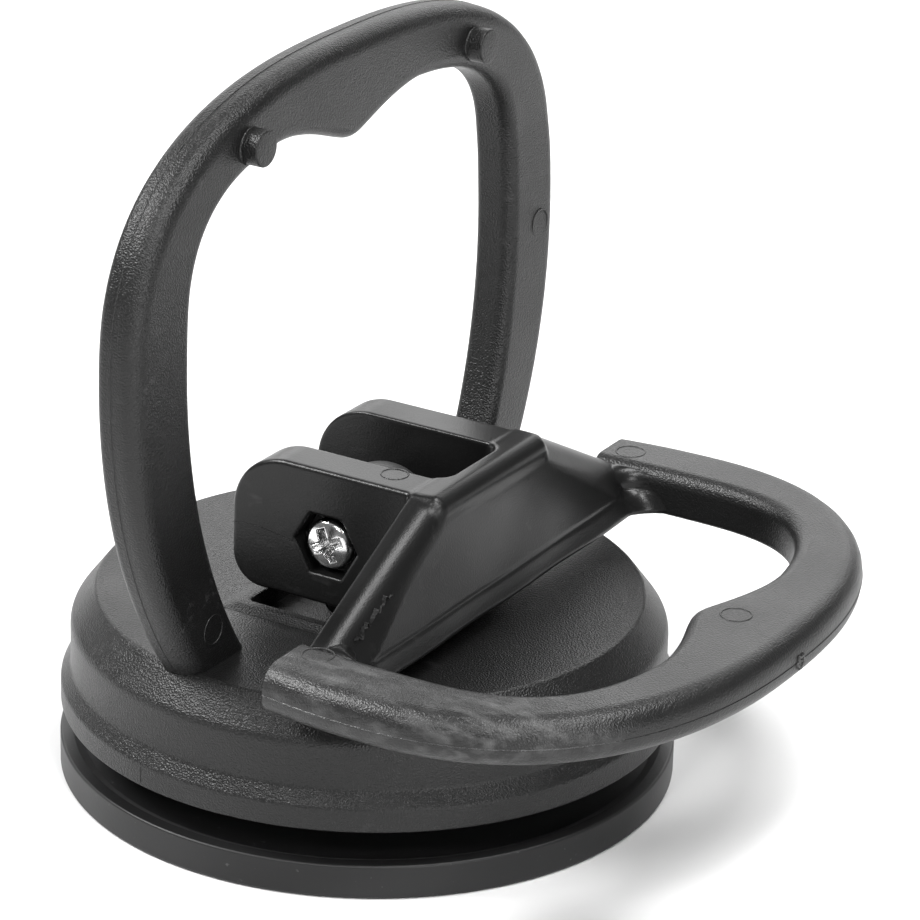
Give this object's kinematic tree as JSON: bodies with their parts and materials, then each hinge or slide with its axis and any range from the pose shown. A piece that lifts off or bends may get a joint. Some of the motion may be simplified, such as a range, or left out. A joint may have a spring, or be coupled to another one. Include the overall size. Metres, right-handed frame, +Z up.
{
  "type": "vacuum suction cup",
  "caption": "Small suction puller: rubber disc under a round cap with an upright horseshoe handle and a swinging horseshoe lever that lifts and releases the disc.",
  "frame": {"origin": "centre of the flat underside of the rubber disc, on the surface it grips", "axes": "+Z up out of the gripped surface, +X from the pivot towards the lever's loop, +Y along the pivot screw towards its nut"},
  "size_m": [0.0707, 0.0686, 0.0683],
  "materials": {
    "rubber": "satin",
    "stem_plastic": "smooth moulded",
    "black_plastic": "fine orange-peel texture, semi-gloss",
    "plated_steel": "bright plating"
  },
  "bodies": {
    "cup": {"rubber_cup": "rubber", "stem_insert": "stem_plastic"},
    "cap": {"cap_handle": "black_plastic"},
    "lever": {"lever": "black_plastic", "pivot_screw": "plated_steel", "pivot_nut": "plated_steel"}
  },
  "joints": [
    {"name": "lever_pivot", "type": "hinge", "parent": "cup", "child": "lever", "pos_m": [0.0008, 0, 0.02405], "axis": [0, -1, 0], "range_deg": [0, 91.5]},
    {"name": "cap_slide", "type": "slide", "parent": "cup", "child": "cap", "axis": [0, 0, -1], "range_m": [0, 0.00275]}
  ],
  "couplings": [
    {"joint": "cap_slide", "follows": "lever_pivot", "m_per_rad": 0.001721}
  ]
}
